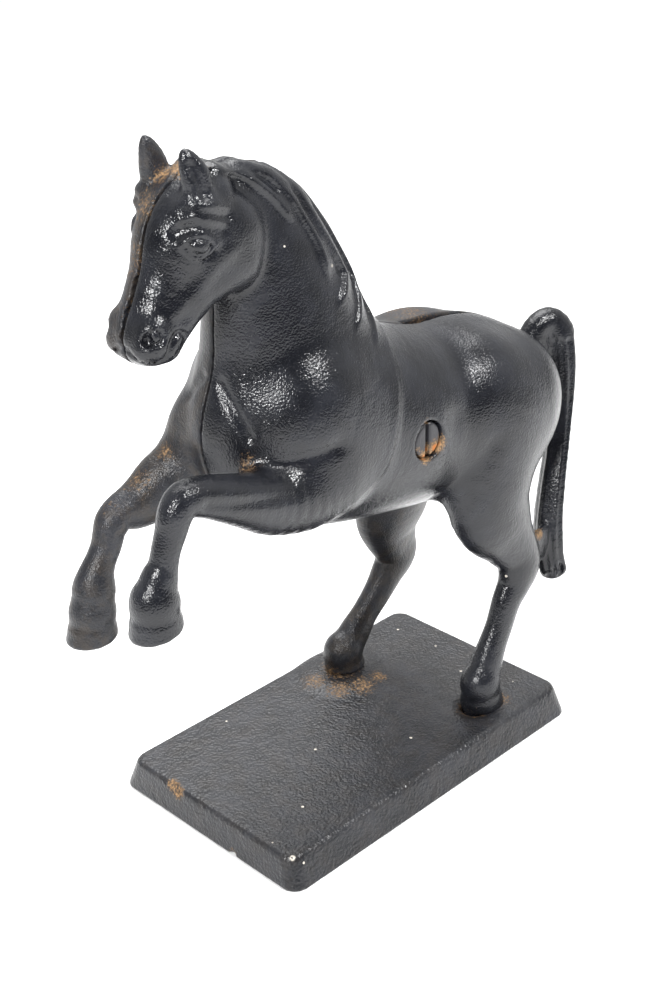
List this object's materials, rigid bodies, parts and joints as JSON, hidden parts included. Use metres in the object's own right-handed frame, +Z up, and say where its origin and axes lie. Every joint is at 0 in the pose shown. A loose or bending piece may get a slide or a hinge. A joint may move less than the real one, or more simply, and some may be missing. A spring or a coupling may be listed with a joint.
{
  "type": "figural animal coin bank",
  "caption": "Cast-iron still bank in the form of a prancing horse on a plate, two hollow halves held by one slotted screw.",
  "frame": {"origin": "bottom centre of the whole object's box, on the surface that the plate rests on", "axes": "+Z up, the horse faces -X, the horse's left side is -Y"},
  "size_m": [0.1684, 0.0694, 0.184],
  "materials": {
    "plate_iron": "worn matte black paint over rough cast iron, with ochre rust stains",
    "left_iron": "semi-gloss black paint over fine sand-cast iron, a few rust stains",
    "right_iron": "worn satin black paint over rough sand-cast iron, brown rust on the face strip",
    "rusty_screw": "dark steel with orange rust round the head"
  },
  "bodies": {
    "plate_and_left_half": {"base_plate": "plate_iron", "left_half": "left_iron"},
    "right_half": {"right_half": "right_iron"},
    "body_screw": {"body_screw": "rusty_screw"}
  },
  "joints": [
    {"name": "halves_part", "type": "slide", "parent": "plate_and_left_half", "child": "right_half", "axis": [0, 1, 0], "range_m": [0, 0.00953]},
    {"name": "screw_turn", "type": "hinge", "parent": "plate_and_left_half", "child": "body_screw", "pos_m": [0.00683, 0, 0.1015], "axis": [0, -1, 0], "range_deg": [0, 3241]}
  ],
  "couplings": [
    {"joint": "screw_turn", "follows": "halves_part", "rad_per_m": 5936.9}
  ]
}
